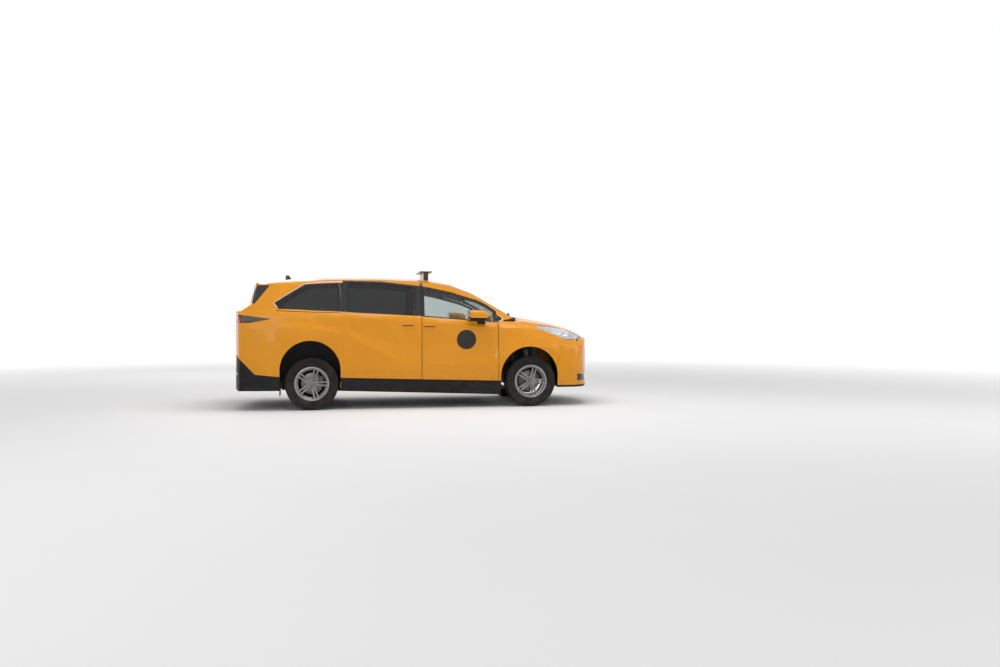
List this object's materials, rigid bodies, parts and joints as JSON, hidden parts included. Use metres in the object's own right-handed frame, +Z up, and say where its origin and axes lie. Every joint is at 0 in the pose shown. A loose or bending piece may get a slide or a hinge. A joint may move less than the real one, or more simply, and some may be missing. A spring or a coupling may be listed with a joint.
{
  "type": "minivan taxi cab",
  "caption": "Yellow minivan taxi cab with black lower trim, tinted rear windows, a slim roof sign, opening front doors, bonnet and tailgate, and steered wheels.",
  "frame": {"origin": "on the ground under the middle of the length and width", "axes": "+X forward, +Y to the cab's left, +Z up"},
  "size_m": [5.1498, 2.384, 1.9539],
  "materials": {
    "taxi_yellow": "glossy, slightly dusty",
    "black_trim": "grained, dusty",
    "gloss_black": "glossy",
    "dark_glass": "tinted",
    "clear_glass": "clear",
    "lamp_glass": "clear",
    "red_lamp": "glossy, translucent",
    "lamp_body": "bright reflector",
    "tyre_rubber": "matt, dusty",
    "wheel_silver": "painted, brake dust",
    "chassis_black": "satin",
    "cast_metal": "cast",
    "exhaust_steel": "heat-stained",
    "seat_vinyl": "vinyl seat cover",
    "cabin_plastic": "grained",
    "sign_white": "translucent"
  },
  "bodies": {
    "body": {"arch_liners": "black_trim", "body_side_left": "taxi_yellow", "body_side_right": "taxi_yellow", "cowl_panel": "black_trim", "dashboard": "cabin_plastic", "door_seals": "black_trim", "engine_block": "cast_metal", "exhaust": "exhaust_steel", "fenders": "taxi_yellow", "floor_pan": "chassis_black", "front_bumper": "taxi_yellow", "front_frame": "chassis_black", "front_lip": "black_trim", "front_seats": "seat_vinyl", "front_subframe": "chassis_black", "grilles": "gloss_black", "headlamp_housings": "lamp_body", "headlamp_lenses": "lamp_glass", "middle_seats": "seat_vinyl", "quarter_glass": "dark_glass", "radiator_frame": "chassis_black", "rear_axle": "chassis_black", "rear_bench": "seat_vinyl", "rear_bumper": "black_trim", "roof_fin": "gloss_black", "roof_panel": "taxi_yellow", "roof_sign": "sign_white", "seat_bases": "cabin_plastic", "side_skirts": "black_trim", "sliding_door_glass": "dark_glass", "sliding_door_left": "taxi_yellow", "sliding_door_right": "taxi_yellow", "tail_lamps": "red_lamp", "windscreen": "clear_glass"},
    "front_door_right": {"front_door_right": "taxi_yellow", "front_door_glass_right": "clear_glass", "mirror_right": "taxi_yellow"},
    "front_door_left": {"front_door_left": "taxi_yellow", "front_door_glass_left": "clear_glass", "mirror_left": "taxi_yellow"},
    "bonnet": {"bonnet": "taxi_yellow"},
    "tailgate": {"tailgate": "taxi_yellow", "tailgate_glass": "dark_glass", "tailgate_lamps": "red_lamp"},
    "knuckle_right": {"knuckle_right": "cast_metal"},
    "knuckle_left": {"knuckle_left": "cast_metal"},
    "wheel_front_right": {"tyre_front_right": "tyre_rubber", "rim_front_right": "wheel_silver"},
    "wheel_front_left": {"tyre_front_left": "tyre_rubber", "rim_front_left": "wheel_silver"},
    "wheel_rear_right": {"tyre_rear_right": "tyre_rubber", "rim_rear_right": "wheel_silver"},
    "wheel_rear_left": {"tyre_rear_left": "tyre_rubber", "rim_rear_left": "wheel_silver"},
    "steering_wheel": {"steering_wheel": "cabin_plastic"}
  },
  "joints": [
    {"name": "front_door_right_hinge", "type": "hinge", "parent": "body", "child": "front_door_right", "pos_m": [1.089, -0.976, 0.635], "axis": [0, 0, 1], "range_deg": [0, 65]},
    {"name": "front_door_left_hinge", "type": "hinge", "parent": "body", "child": "front_door_left", "pos_m": [1.089, 0.976, 0.635], "axis": [0, 0, -1], "range_deg": [0, 65]},
    {"name": "bonnet_hinge", "type": "hinge", "parent": "body", "child": "bonnet", "pos_m": [1.352, 0, 1.287], "axis": [0, -1, 0], "range_deg": [0, 50]},
    {"name": "tailgate_hinge", "type": "hinge", "parent": "body", "child": "tailgate", "pos_m": [-2.17, 0, 1.787], "axis": [0, 1, 0], "range_deg": [0, 80]},
    {"name": "steering_right", "type": "hinge", "parent": "body", "child": "knuckle_right", "pos_m": [1.56, -0.775, 0.215], "axis": [0, 0.2591, 0.9659], "range_deg": [-35, 35]},
    {"name": "steering_left", "type": "hinge", "parent": "body", "child": "knuckle_left", "pos_m": [1.56, 0.775, 0.215], "axis": [0, -0.2591, 0.9659], "range_deg": [-35, 35]},
    {"name": "steering_wheel_turn", "type": "hinge", "parent": "body", "child": "steering_wheel", "pos_m": [0.64, 0.37, 1.005], "axis": [-0.9063, 0, 0.4226], "range_deg": [-500, 500]},
    {"name": "wheel_front_right_spin", "type": "hinge", "parent": "knuckle_right", "child": "wheel_front_right", "pos_m": [1.56, -0.86, 0.36], "axis": [0, 1, 0], "continuous": true},
    {"name": "wheel_rear_right_spin", "type": "hinge", "parent": "body", "child": "wheel_rear_right", "pos_m": [-1.5, -0.86, 0.36], "axis": [0, 1, 0], "continuous": true},
    {"name": "wheel_front_left_spin", "type": "hinge", "parent": "knuckle_left", "child": "wheel_front_left", "pos_m": [1.56, 0.86, 0.36], "axis": [0, 1, 0], "continuous": true},
    {"name": "wheel_rear_left_spin", "type": "hinge", "parent": "body", "child": "wheel_rear_left", "pos_m": [-1.5, 0.86, 0.36], "axis": [0, 1, 0], "continuous": true}
  ],
  "couplings": [
    {"joint": "steering_left", "follows": "steering_right", "ratio": 1},
    {"joint": "steering_wheel_turn", "follows": "steering_right", "ratio": 14}
  ]
}
